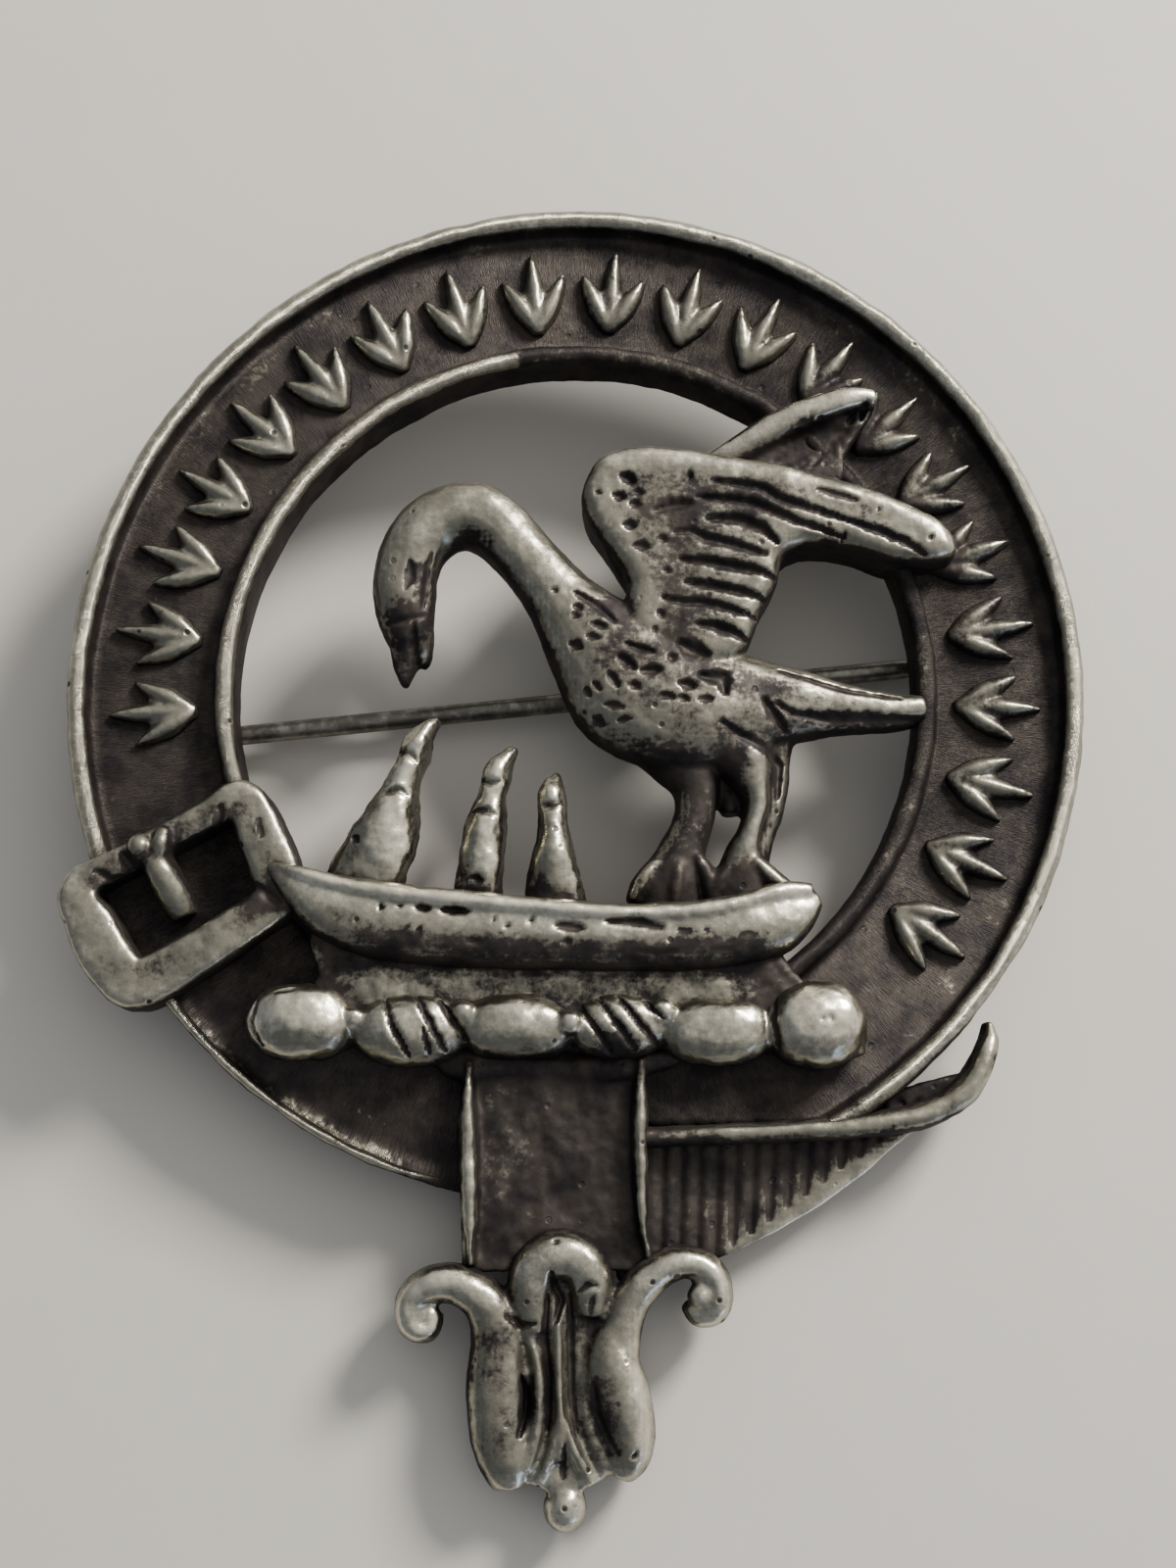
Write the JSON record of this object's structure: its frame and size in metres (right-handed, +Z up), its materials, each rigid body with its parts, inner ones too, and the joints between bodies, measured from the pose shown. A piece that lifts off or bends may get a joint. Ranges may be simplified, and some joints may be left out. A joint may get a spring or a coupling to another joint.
{
  "type": "clan crest badge brooch",
  "caption": "Round strap-and-buckle badge brooch with a water bird feeding chicks in a nest, a wreath, a hanging strap end and a hinged pin.",
  "frame": {"origin": "centre of the floor under the badge, which lies on its hinge, its catch and the tip of its strap end", "axes": "+Y to the top of the crest, +X to the viewer's right, +Z up out of the face"},
  "size_m": [0.038, 0.0492, 0.0067],
  "materials": {
    "oxidised_silver": "cast sterling silver, dark oxidised recesses, worn bright on the high spots",
    "pin_wire": "drawn silver wire, dull grey from age"
  },
  "bodies": {
    "badge": {"crest_badge": "oxidised_silver", "hinge_rivet": "pin_wire"},
    "pin": {"pin_stem": "pin_wire"}
  },
  "joints": [
    {"name": "pin_hinge", "type": "hinge", "parent": "badge", "child": "pin", "pos_m": [-0.01605, 0.00437, 0.00118], "axis": [-0.1007, 0.991, 0.0887], "range_deg": [0, 100]}
  ]
}
